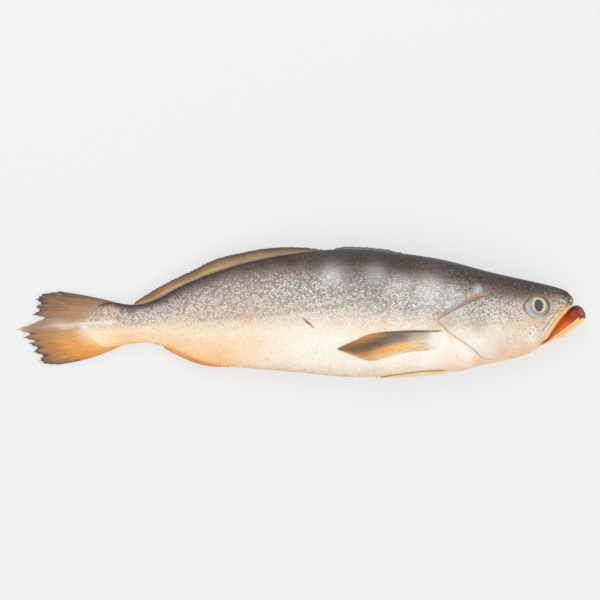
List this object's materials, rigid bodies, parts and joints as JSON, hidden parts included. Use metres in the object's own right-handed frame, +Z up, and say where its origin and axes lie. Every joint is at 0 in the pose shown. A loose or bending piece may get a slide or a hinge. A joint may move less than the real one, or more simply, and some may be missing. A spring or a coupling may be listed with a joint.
{
  "type": "whole raw fish",
  "caption": "Whole raw fish of the croaker family lying on its left side, with its fins folded, its mouth ajar and a ragged tail fin.",
  "frame": {"origin": "middle of the fish's bounding box, on the surface that it lies on", "axes": "+X towards the snout, +Y towards the fish's back, +Z up, out of its right side"},
  "size_m": [0.45, 0.1033, 0.0534],
  "materials": {
    "skin": "wet scaled skin, dark grey back, silver flank, cream belly",
    "jaw": "wet skin, pale orange with a dark tip",
    "mouth": "wet flesh, orange red",
    "eye": "wet clear eye with a pale ring round a dark pupil",
    "fin": "damp brown fin rays with thin skin between them",
    "gold_fin": "damp orange fin rays with thin skin between them"
  },
  "bodies": {
    "root": {"body": "skin", "lower_jaw": "jaw", "mouth_floor": "mouth", "right_gill_cover": "skin", "left_gill_cover": "skin", "right_eye": "eye", "left_eye": "eye", "spiny_dorsal_fin": "fin", "soft_dorsal_fin": "fin", "tail_fin": "fin", "anal_fin": "gold_fin", "right_pectoral_fin": "fin", "left_pectoral_fin": "fin", "right_pelvic_fin": "gold_fin", "left_pelvic_fin": "gold_fin"}
  },
  "joints": []
}
